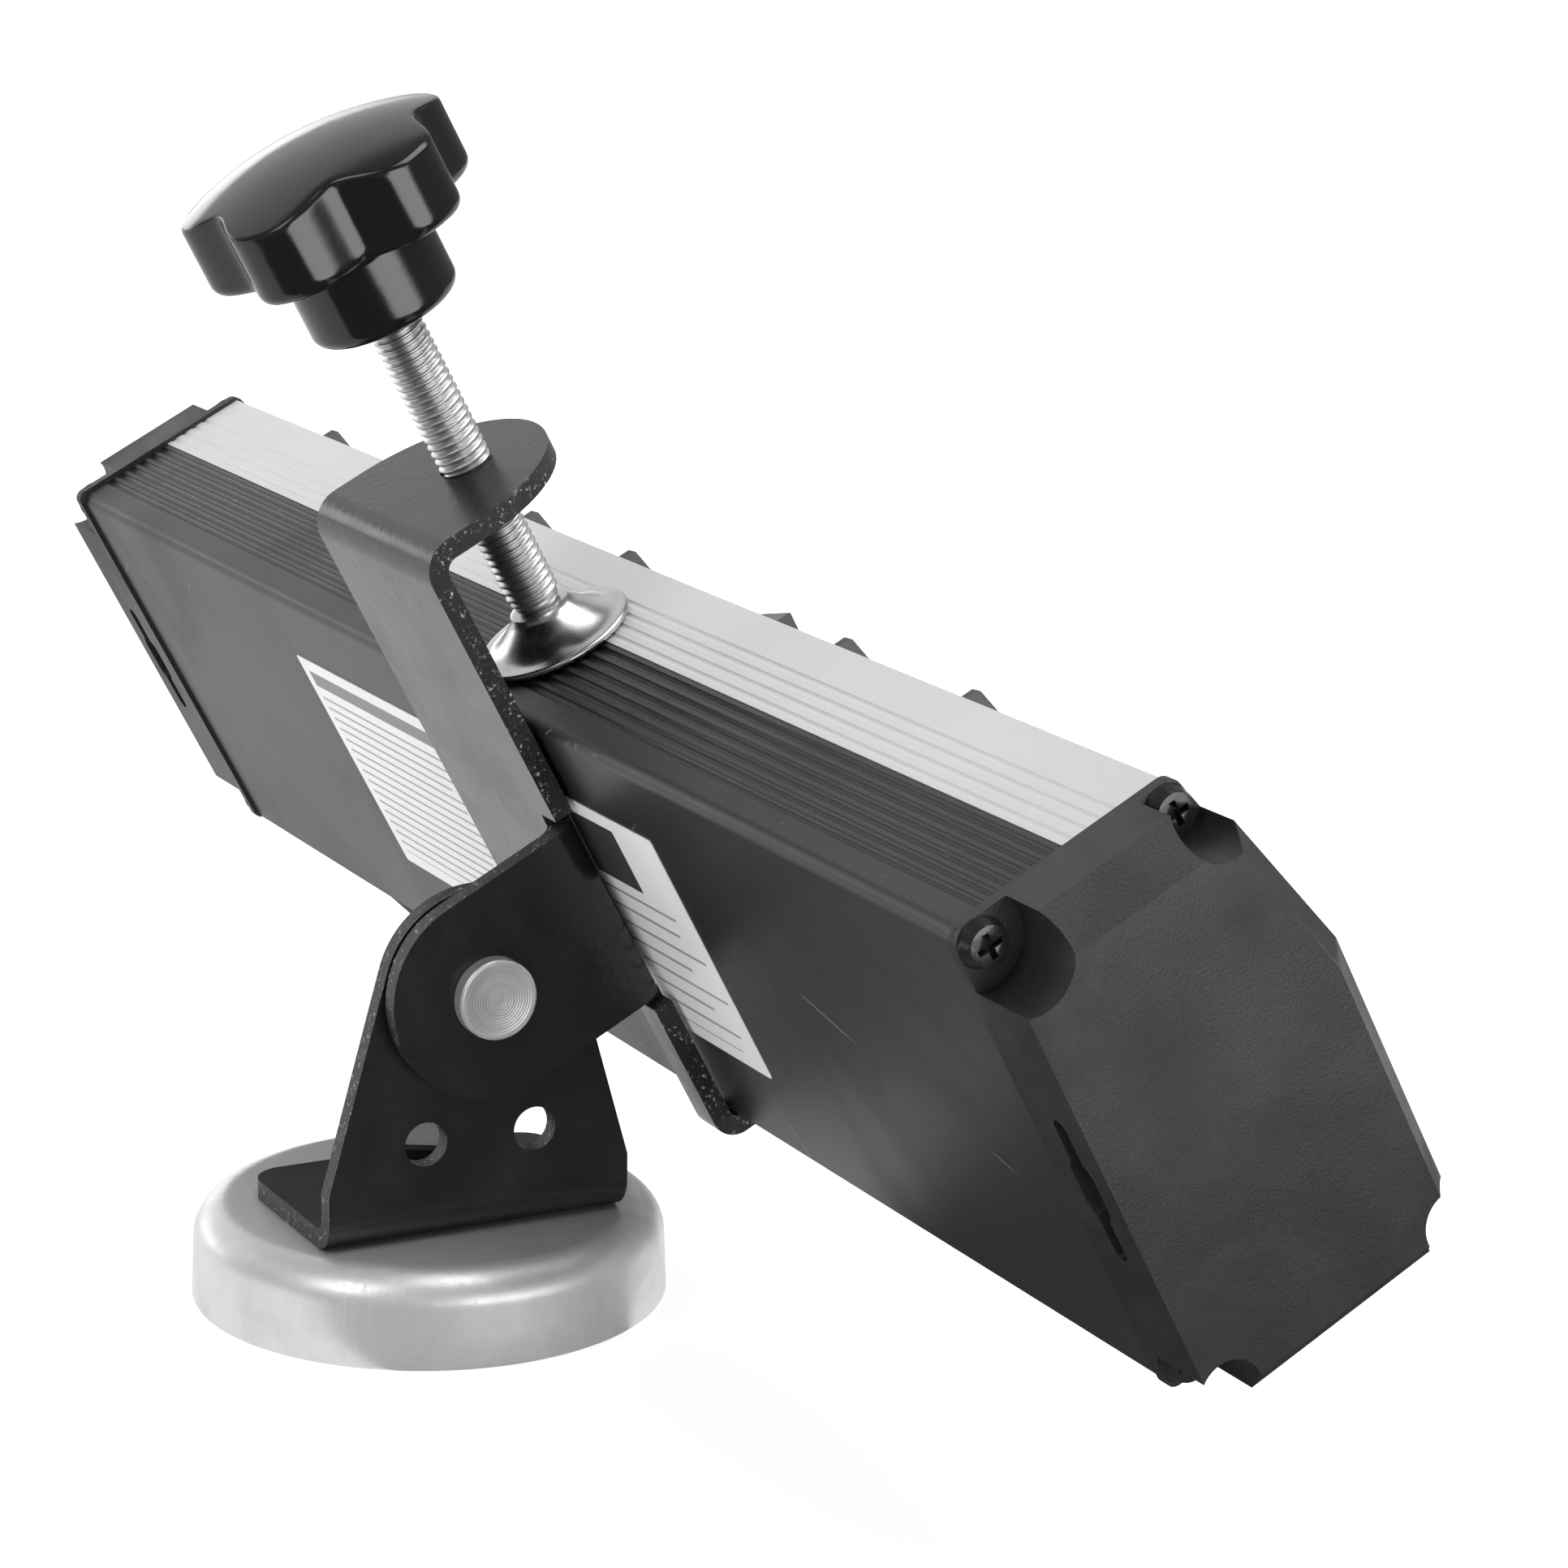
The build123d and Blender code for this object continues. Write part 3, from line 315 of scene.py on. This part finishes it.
def turned_face(name, centre, axis, color=(0.70, 0.70, 0.70)):
    """A turned end face: fine concentric rings about an axis."""
    metal = Shader(name, color, 0.36, metallic=0.75)
    offset = metal.tree.nodes.new("ShaderNodeVectorMath")
    offset.operation = "SUBTRACT"
    offset.inputs[1].default_value = centre
    metal.link(metal.coords, offset.inputs[0])
    cross = metal.tree.nodes.new("ShaderNodeVectorMath")
    cross.operation = "CROSS_PRODUCT"
    cross.inputs[1].default_value = axis
    metal.link(offset.outputs["Vector"], cross.inputs[0])
    length = metal.tree.nodes.new("ShaderNodeVectorMath")
    length.operation = "LENGTH"
    metal.link(cross.outputs["Vector"], length.inputs[0])
    radius = length.outputs["Value"]
    rings = metal.math("SINE", metal.math("MULTIPLY", radius, 2 * math.pi / 0.00042))
    metal.bump(rings, 0.000006)
    uneven = metal.math("SINE", metal.math("MULTIPLY", radius, 2 * math.pi / 0.0019))
    metal.color(metal.ramp(uneven, 0.2, 0.95, 0.0, 0.5), tuple(channel * 0.85 for channel in color))
    metal.roughen(metal.ramp(metal.noise(260, 4), 0.4, 0.7), 0.46)
    return metal


def label_film(name, node, rows, band_high, band_wide, band_color):
    """Pale film printed with one plain band and rows of thin grey rules, and no lettering."""
    low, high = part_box(node)
    corner = Vector((high.x, high.y, high.z))
    width = high.x - low.x
    height = (high.z - low.z) / UP.z
    film = Shader(name, (0.83, 0.83, 0.83), 0.36)
    film.color(film.ramp(film.noise(45, 4), 0.45, 0.75), (0.79, 0.79, 0.79))
    across = film.dot(-ALONG, corner)
    down = film.dot(-UP, corner)
    soft, margin = 0.08 * MM, 2.6 * MM

    def between(source, start, end):
        rise = film.ramp(source, start - soft, start + soft)
        return film.math("MULTIPLY", rise, film.ramp(source, end - soft, end + soft, 1.0, 0.0))

    band = film.math("MULTIPLY", between(across, margin, width * band_wide), between(down, margin, margin + band_high))
    film.color(band, band_color)
    first = margin + band_high + 2.4 * MM
    pitch = (height - margin - first) / rows
    rule = film.math("PINGPONG", film.math("SUBTRACT", down, first), pitch / 2)
    thin = film.ramp(rule, 0.2 * MM, 0.34 * MM, 1.0, 0.0)
    row = film.math("FLOOR", film.math("DIVIDE", film.math("SUBTRACT", down, first - pitch / 2), pitch))
    ragged = film.math("MULTIPLY", film.math("SINE", film.math("MULTIPLY", row, 2.7)), width * 0.13)
    inside = film.ramp(film.math("ADD", across, ragged), width * 0.8 - soft, width * 0.8 + soft, 1.0, 0.0)
    inside = film.math("MULTIPLY", inside, film.ramp(across, margin - soft, margin + soft))
    inside = film.math("MULTIPLY", inside, between(down, first - 0.6 * MM, height - margin))
    film.color(film.math("MULTIPLY", thin, inside), (0.3, 0.3, 0.3))
    film.bump(film.noise(260, 3), 0.00003)
    return film


def knob_plastic():
    """Gloss black thermoset moulding with faint wipe marks."""
    plastic = Shader("knob_plastic", (0.006, 0.006, 0.0062), 0.13)
    plastic.roughen(plastic.ramp(plastic.noise(70, 5, 0.6, distortion=1.0), 0.45, 0.8), 0.2)
    plastic.bump(plastic.noise(260, 2), 0.00002)
    dust = plastic.math(
        "MULTIPLY", plastic.ramp(plastic.voronoi(420), 0.04, 0.02), plastic.ramp(plastic.noise(360, 1), 0.64, 0.68)
    )
    plastic.color(dust, (0.2, 0.2, 0.2))
    return plastic


def bright_zinc(name, rough=0.22):
    """Bright zinc plate: near-mirror, with cloudy patches and tiny pits."""
    metal = Shader(name, (0.56, 0.56, 0.56), rough, metallic=1.0)
    metal.color(metal.ramp(metal.noise(260, 6, 0.7), 0.5, 0.8), (0.44, 0.44, 0.44))
    metal.roughen(metal.ramp(metal.noise(170, 5), 0.4, 0.75), rough + 0.12)
    metal.bump(metal.noise(900, 4, 0.6), 0.000008)
    return metal


# ======================= mesh helpers =======================
def new_piece(name, verts, faces, material, sharp_angle=40):
    mesh = bpy.data.meshes.new(name)
    mesh.from_pydata([tuple(v) for v in verts], [], faces)
    mesh.materials.append(material.material)
    mesh.polygons.foreach_set("use_smooth", [True] * len(mesh.polygons))
    mesh.set_sharp_from_angle(angle=math.radians(sharp_angle))
    mesh.update()
    piece = bpy.data.objects.new(name, mesh)
    bpy.context.scene.collection.objects.link(piece)
    return piece


def grid_faces(rings, around, closed_ends=True):
    """Quads between rings of points, with a fan-free cap on both ends."""
    faces = []
    for i in range(rings - 1):
        for j in range(around):
            k = (j + 1) % around
            faces.append((i * around + j, i * around + k, (i + 1) * around + k, (i + 1) * around + j))
    if closed_ends:
        faces.append(tuple(reversed(range(around))))
        faces.append(tuple((rings - 1) * around + j for j in range(around)))
    return faces


def basis(axis):
    """Two directions that make a right-handed frame with the axis."""
    helper = ALONG if abs(axis.dot(ALONG)) < 0.9 else Vector((0, 0, 1))
    first = (helper - axis * helper.dot(axis)).normalized()
    return first, axis.cross(first)


def lathe(name, profile, origin, axis, material, around=128, closed_ends=True, sharp_angle=35):
    """A turned piece: profile points are (radius, height) in metres from bottom to top."""
    first, second = basis(axis)
    verts = []
    for radius, height in profile:
        for j in range(around):
            angle = 2 * math.pi * j / around
            spoke = first * math.cos(angle) + second * math.sin(angle)
            verts.append(origin + axis * height + spoke * radius)
    return new_piece(name, verts, grid_faces(len(profile), around, closed_ends), material, sharp_angle)


def arc(centre, radius, start, end, steps):
    """Points on an arc in profile space, angles in degrees."""
    points = []
    for i in range(steps + 1):
        angle = math.radians(start + (end - start) * i / steps)
        points.append((centre[0] + radius * math.cos(angle), centre[1] + radius * math.sin(angle)))
    return points


# ======================= turned and moulded pieces =======================
def make_magnet_cup(material):
    """The pressed steel cup: nearly upright side, soft shoulder, flat top."""
    low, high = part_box("magnet_cup")
    radius, height = high.x, high.z
    shoulder, edge, draft = 5.2 * MM, 0.5 * MM, 0.35 * MM
    side_top = radius - draft
    ring_in, ring_out = 31.9 * MM, radius - edge
    outer = [(ring_in, 9.2 * MM), (ring_in, edge * 0.5), (ring_in + edge * 0.5, 0.0), (ring_out, 0.0)]
    outer += arc((radius - edge, edge), edge, -90, 0, 5)[1:]
    outer += [(radius - draft * 0.5, (height - shoulder) * 0.55), (side_top, height - shoulder)]
    outer += arc((side_top - shoulder, height - shoulder), shoulder, 0, 90, 18)[1:]
    outer += [(side_top - shoulder - 0.8 * MM, height - 0.02 * MM), (20 * MM, height - 0.02 * MM), (4.2 * MM, height - 0.02 * MM)]
    outer += [(4.2 * MM, 5.5 * MM), (0.02 * MM, 5.5 * MM), (0.02 * MM, 0.01 * MM), (9.4 * MM, 0.01 * MM)]
    outer += [(9.5 * MM, 9.2 * MM), (ring_in, 9.2 * MM)]
    piece = lathe("magnet_cup_turned", outer, Vector((0, 0, 0)), Vector((0, 0, 1)), material, 192, False, 32)
    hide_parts("magnet_cup")
    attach(piece, "base")


def make_rivet(face):
    """Flat turned rivet head with a bright rounded rim."""
    low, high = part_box("pivot_rivet")
    centre = Vector((low.x, PIVOT.y, PIVOT.z))
    head, length = 2.4 * MM, high.x - low.x
    radius, rim = 5.98 * MM, 0.45 * MM
    profile = [(0.02 * MM, 0.06 * MM), (radius - rim * 2.2, 0.06 * MM), (radius - rim * 1.6, 0.0)]
    profile += arc((radius - rim, rim), rim, -100, 0, 6)
    profile += [(radius, head), (4.0 * MM, head), (4.0 * MM, length - 2.2 * MM), (5.55 * MM, length - 2.15 * MM)]
    profile += arc((3.9 * MM, length - 1.7 * MM), 1.65 * MM, 0, 80, 6) + [(0.02 * MM, length)]
    piece = lathe("pivot_rivet_turned", profile, centre, ALONG, face, 96, True, 30)
    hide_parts("pivot_rivet")
    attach(piece, "clamp")


def make_pad(material):
    """The domed clamp pad: flat rim, dished skirt rising to a rolled collar."""
    radius = 12.0 * MM
    base = 0.3 * MM
    profile = [(0.02 * MM, base), (radius - 0.5 * MM, base)]
    profile += arc((radius - 0.55 * MM, base + 0.6 * MM), 0.55 * MM, -80, 80, 8)
    profile += [(radius - 1.1 * MM, base + 1.12 * MM), (radius - 1.7 * MM, base + 1.2 * MM)]
    steps = 16
    for i in range(1, steps + 1):
        share = i / steps
        reach = radius - 1.9 * MM - share * 5.0 * MM
        rise = base + 1.25 * MM + (3.5 * MM) * share ** 1.35
        profile.append((reach, rise))
    profile += [(4.75 * MM, base + 5.2 * MM), (4.6 * MM, base + 5.8 * MM), (4.1 * MM, base + 6.0 * MM)]
    profile += [(3.05 * MM, base + 6.0 * MM), (3.05 * MM, base + 2.8 * MM), (0.02 * MM, base + 2.8 * MM)]
    piece = lathe("clamp_pad_domed", profile, SCREW_FOOT, UP, material, 128, True, 38)
    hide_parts("clamp_pad")
    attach(piece, "pad")


def make_screw(material):
    """M8 rod with a rolled right-hand thread: rounded crests a pitch apart."""
    pitch, crest, root, tip = 1.25 * MM, 3.99 * MM, 3.36 * MM, 2.9 * MM
    start, end = 6.7 * MM, 69.5 * MM
    around, per_pitch = 56, 10
    rings = int((end - start) / pitch * per_pitch)
    first, second = basis(UP)
    verts = []
    levels = [(tip, 3.4 * MM), (tip, 6.2 * MM)]
    for radius, height in levels:
        for j in range(around):
            angle = 2 * math.pi * j / around
            verts.append(SCREW_FOOT + UP * height + (first * math.cos(angle) + second * math.sin(angle)) * radius)
    for i in range(rings + 1):
        height = start + (end - start) * i / rings
        fade = min(1.0, (height - start) / (1.5 * pitch), (end - height) / pitch)
        for j in range(around):
            angle = 2 * math.pi * j / around
            phase = height / pitch - j / around
            wave = 0.5 + 0.5 * math.cos(2 * math.pi * phase)
            radius = root + (crest - root) * fade * wave ** 0.8
            verts.append(SCREW_FOOT + UP * height + (first * math.cos(angle) + second * math.sin(angle)) * radius)
    piece = new_piece("clamp_screw_threaded", verts, grid_faces(rings + 3, around), material, 70)
    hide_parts("clamp_screw")
    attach(piece, "screw")


def make_knob(material):
    """Five-lobed knob: round hub, upright lobed rim with soft edges, domed top."""
    lobes, reach, valley, turn = 5, 20.9 * MM, 4.6 * MM, math.radians(KNOB_TURN)
    hub, bottom = 11.3 * MM, 56.05 * MM
    rim_low, rim_high, top = bottom + 12.6 * MM, bottom + 23.3 * MM, bottom + 27.4 * MM
    around = 240
    first, second = basis(UP)

    def outline(angle):
        wave = 0.5 - 0.5 * math.cos(lobes * (angle - turn))
        return reach - valley * wave ** 1.5

    verts, rings = [], 0

    def ring(height, radius_of):
        nonlocal rings
        rings += 1
        for j in range(around):
            angle = 2 * math.pi * j / around
            spoke = first * math.cos(angle) + second * math.sin(angle)
            radius, lift = radius_of(angle)
            verts.append(SCREW_FOOT + UP * (height + lift) + spoke * radius)

    ring(bottom + 4 * MM, lambda a: (4.05 * MM, 0))
    ring(bottom, lambda a: (4.1 * MM, 0))
    for radius, height in [(hub - 2.3 * MM, bottom)] + arc((hub - 2.0 * MM, bottom + 2.0 * MM), 2.0 * MM, -80, 0, 6):
        ring(height, lambda a, r=radius: (r, 0))
    for height in (bottom + 2.4 * MM, rim_low - 1.6 * MM, rim_low - 1.0 * MM):
        ring(height, lambda a: (hub, 0))
    ring(rim_low - 0.4 * MM, lambda a: (hub + 0.2 * MM, 0))
    ring(rim_low - 0.1 * MM, lambda a: (hub + 0.7 * MM, 0))
    ring(rim_low, lambda a: (hub + 1.4 * MM, 0))
    lower = 1.8 * MM
    for step in range(7):
        turn_in = math.radians(-90 + 15 * step)
        inset = lower * (1 - math.cos(turn_in))
        rise = lower * (1 + math.sin(turn_in))
        ring(rim_low + rise, lambda a, i=inset: (outline(a) - i, 0))
    upper = 0.7 * MM

    def dome(radius):
        return (top - rim_high) * (1 - (radius / (reach + 0.6 * MM)) ** 2.2)

    ring(rim_low + lower + 0.5 * MM, lambda a: (outline(a), 0))
    ring(rim_high - 2 * MM, lambda a: (outline(a), dome(outline(a))))
    ring(rim_high - upper - 0.3 * MM, lambda a: (outline(a), dome(outline(a))))
    for step in range(1, 7):
        turn_in = math.radians(15 * step)
        inset = upper * (1 - math.cos(turn_in))
        drop = upper * (1 - math.sin(turn_in))
        ring(rim_high, lambda a, i=inset, d=drop: (outline(a) - i, dome(outline(a) - i) - d))
    for share in (0.93, 0.86, 0.78, 0.68, 0.56, 0.44, 0.32, 0.2, 0.1, 0.02):
        ring(rim_high, lambda a, s=share: ((outline(a) - upper) * s, dome((outline(a) - upper) * s)))
    piece = new_piece("knob_moulded", verts, grid_faces(rings, around), material, 50)
    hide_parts("knob")
    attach(piece, "screw")


# ======================= finishing the CAD pieces =======================
def dress(node, material, bevel=0.0, segments=3, angle=28):
    """Gives a CAD node its material and, if asked, softly broken edges."""
    piece = NODES[node]
    piece.data.materials.clear()
    piece.data.materials.append(material.material)
    if bevel:
        weld = piece.modifiers.new("weld", "WELD")
        weld.merge_threshold = 0.000005
        soft = piece.modifiers.new("soft_edges", "BEVEL")
        soft.width = bevel
        soft.segments = segments
        soft.limit_method = "ANGLE"
        soft.angle_limit = math.radians(angle)
        level = piece.modifiers.new("level_shading", "WEIGHTED_NORMAL")
        level.mode = "FACE_AREA"
        level.weight = 100


def edge_faces(node, sheet, material):
    """Gives the cut edges of a sheet-metal piece their own material: faces with no face one sheet behind."""
    mesh = NODES[node].data
    mesh.materials.append(material.material)
    tree = BVHTree.FromPolygons([v.co for v in mesh.vertices], [tuple(p.vertices) for p in mesh.polygons])
    for polygon in mesh.polygons:
        inward = -polygon.normal
        hit = tree.ray_cast(polygon.center + inward * 0.1 * MM, inward, sheet * 1.3)
        through = hit[0] is not None and (hit[0] - polygon.center).length > sheet * 0.7
        if not through:
            polygon.material_index = 1


# ======================= stage =======================
def make_table(name, x_low, x_high, y_low, y_high, z, color, glow):
    mesh = bpy.data.meshes.new(name)
    corners = [(x_low, y_low, z), (x_high, y_low, z), (x_high, y_high, z), (x_low, y_high, z)]
    mesh.from_pydata(corners, [], [(0, 1, 2, 3)])
    table = bpy.data.objects.new(name, mesh)
    bpy.context.scene.collection.objects.link(table)
    paper = Shader(name + "_paper", color, 0.8, Emission_Color=(1, 1, 1, 1), Emission_Strength=glow)
    mesh.materials.append(paper.material)
    return table


# where the glowing reflection-only sheet ends and the dark one, painted shade in the reflections, begins
GLOW_EDGE = -0.03


def make_stage():
    """A lit white table in a dark studio with a few broad softboxes."""
    size = 12.0
    table = make_table("floor", -size, size, -size, size, -0.2 * MM, (0.6, 0.6, 0.6), 0.75)
    table.visible_glossy = False
    # sheets seen only in reflections: a glowing sheet for the lit table beyond the magnet, and before it a dark sheet
    # that paints shade into the reflections, where the table itself is as white as elsewhere
    for name, x_low, x_high, y_low, y_high, glow in (
        ("mirrored_table", GLOW_EDGE, size, -size, size, 0.95),
        # dark sheet: painted shade in the reflections of the table before the magnet
        ("painted_shade_reflection", -0.42, GLOW_EDGE, -0.5, 0.4, 0.06),
    ):
        part = make_table(name, x_low, x_high, y_low, y_high, -0.3 * MM, (0.02, 0.02, 0.02), glow)
        part.visible_camera = part.visible_diffuse = part.visible_shadow = False

    world = bpy.data.worlds.new("studio")
    bpy.context.scene.world = world
    world.use_nodes = True
    tree = world.node_tree
    background = tree.nodes["Background"]
    background.inputs["Color"].default_value = (1, 1, 1, 1)
    coords = tree.nodes.new("ShaderNodeTexCoord").outputs["Generated"]

    def math_node(kind, a, b):
        node = tree.nodes.new("ShaderNodeMath")
        node.operation = kind
        for socket, value in zip(node.inputs, (a, b)):
            if isinstance(value, (int, float)):
                socket.default_value = value
            else:
                tree.links.new(value, socket)
        return node.outputs["Value"]

    def dot(direction):
        node = tree.nodes.new("ShaderNodeVectorMath")
        node.operation = "DOT_PRODUCT"
        node.inputs[1].default_value = direction
        tree.links.new(coords, node.inputs[0])
        return node.outputs["Value"]

    def step(source, low, high):
        node = tree.nodes.new("ShaderNodeMapRange")
        node.interpolation_type = "SMOOTHSTEP"
        node.inputs["From Min"].default_value = low
        node.inputs["From Max"].default_value = high
        tree.links.new(source, node.inputs["Value"])
        return node.outputs["Result"]

    total = 0.25
    for azimuth, elevation, half_width, half_height, power in SOFTBOXES:
        a, e = math.radians(azimuth), math.radians(elevation)
        forward = Vector((math.sin(a) * math.cos(e), -math.cos(a) * math.cos(e), math.sin(e)))
        side = Vector((math.cos(a), math.sin(a), 0))
        above = forward.cross(side)
        wide = step(math_node("ABSOLUTE", dot(side), 0.0), half_width, half_width * 0.6)
        tall = step(math_node("ABSOLUTE", dot(above), 0.0), half_height, half_height * 0.6)
        ahead = step(dot(forward), 0.0, 0.1)
        box = math_node("MULTIPLY", math_node("MULTIPLY", wide, tall), math_node("MULTIPLY", ahead, power))
        total = math_node("ADD", box, total)
    tree.links.new(total, background.inputs["Strength"])


# azimuth and elevation of each softbox as for a view, half width, half height, radiance
SOFTBOXES = (
    (283.0, -10.0, 0.50, 0.44, 4.8),
    (200.0, 40.0, 0.26, 0.34, 3.0),
    (330.0, 65.0, 0.50, 0.46, 4.0),
    (100.0, 8.0, 0.60, 0.13, 2.2),
    (96.0, 32.0, 0.80, 0.36, 0.6),
)

make_camera()
make_stage()
bpy.context.scene.view_settings.view_transform = "Standard"

paint = black_paint("black_paint")
extrusion = black_extrusion()
silver = silver_extrusion()
cap_plastic = moulding("cap_plastic", (0.011, 0.011, 0.011), 0.42, 0.00005, 0.7)
dark_plastic = moulding("dark_plastic", (0.075, 0.075, 0.076), 0.5, 0.00002, 0.4)
black_plastic = moulding("black_plastic", (0.02, 0.02, 0.02), 0.4, 0.00002, 0.3)
rubber = moulding("rubber", (0.02, 0.02, 0.02), 0.7, 0.00004, 0.3)
screw_steel = moulding("screw_black", (0.012, 0.012, 0.012), 0.16, 0.00001, 0.2)
brass = plain_metal("brass", (0.72, 0.55, 0.27), 0.3)
steel = plain_metal("steel", (0.55, 0.55, 0.55), 0.3)
zinc = bright_zinc("bright_zinc")
thread_zinc = bright_zinc("thread_zinc", 0.34)
board = moulding("board", (0.03, 0.13, 0.06), 0.4, 0.00001, 0.2)
epoxy = moulding("epoxy", (0.05, 0.1, 0.35), 0.25, 0.00001, 0.2)
red_gloss = moulding("red_gloss", (0.42, 0.02, 0.02), 0.2, 0.00001, 0.1)
white_plastic = moulding("white_plastic", (0.72, 0.72, 0.7), 0.35, 0.00001, 0.1)
green_lens = moulding("green_lens", (0.1, 0.42, 0.16), 0.12, 0.00001, 0.1)
ferrite = moulding("ferrite", (0.05, 0.05, 0.05), 0.6, 0.00005, 0.3)

DRESS = {
    "clamp_frame": (paint, 0.00045), "base_bracket": (paint, 0.00045), "base_washer": (screw_steel, 0.0002),
    "base_bolt": (screw_steel, 0.0003), "arm_liner": (rubber, 0.0002), "friction_washer": (black_plastic, 0.0001),
    "spring_washer": (steel, 0.0001), "rear_housing": (extrusion, 0.0), "front_housing": (silver, 0.0),
    "end_cap_near": (cap_plastic, 0.0004), "end_cap_far": (cap_plastic, 0.0004), "cap_screws": (screw_steel, 0.00015),
    "bus_line": (brass, 0.0), "bus_neutral": (brass, 0.0), "bus_ground": (brass, 0.0),
    "usb_module": (dark_plastic, 0.0003), "usb_ports": (steel, 0.0), "usb_board": (board, 0.0),
    "switch_housing": (dark_plastic, 0.0003), "rocker": (red_gloss, 0.0005), "breaker_body": (dark_plastic, 0.0002),
    "reset_button": (white_plastic, 0.0), "lamp_lenses": (green_lens, 0.0003), "surge_board": (board, 0.0),
    "varistors": (epoxy, 0.0003), "thermal_fuse": (epoxy, 0.0002), "terminal_block": (epoxy, 0.0002),
    "cord_gland": (rubber, 0.0), "knob_insert": (brass, 0.0), "ring_magnet": (ferrite, 0.0), "resin_seal": (black_plastic, 0.0),
}
for node, (material, bevel) in DRESS.items():
    dress(node, material, bevel)
for node in NODES:
    if node.startswith("outlet_"):
        dress(node, dark_plastic, 0.0003)
dress("rating_label", label_film("rating_film", "rating_label", 15, 3.0 * MM, 0.86, (0.16, 0.16, 0.16)))
dress("maker_label", label_film("maker_film", "maker_label", 7, 11.0 * MM, 0.55, (0.05, 0.05, 0.05)))
edge = sheared_edge("sheared_edge")
for node in ("clamp_frame", "base_bracket"):
    edge_faces(node, SHEET, edge)

make_magnet_cup(zinc_cup())
make_rivet(turned_face("turned_face", PIVOT, ALONG))
make_pad(zinc)
make_screw(thread_zinc)
make_knob(knob_plastic())
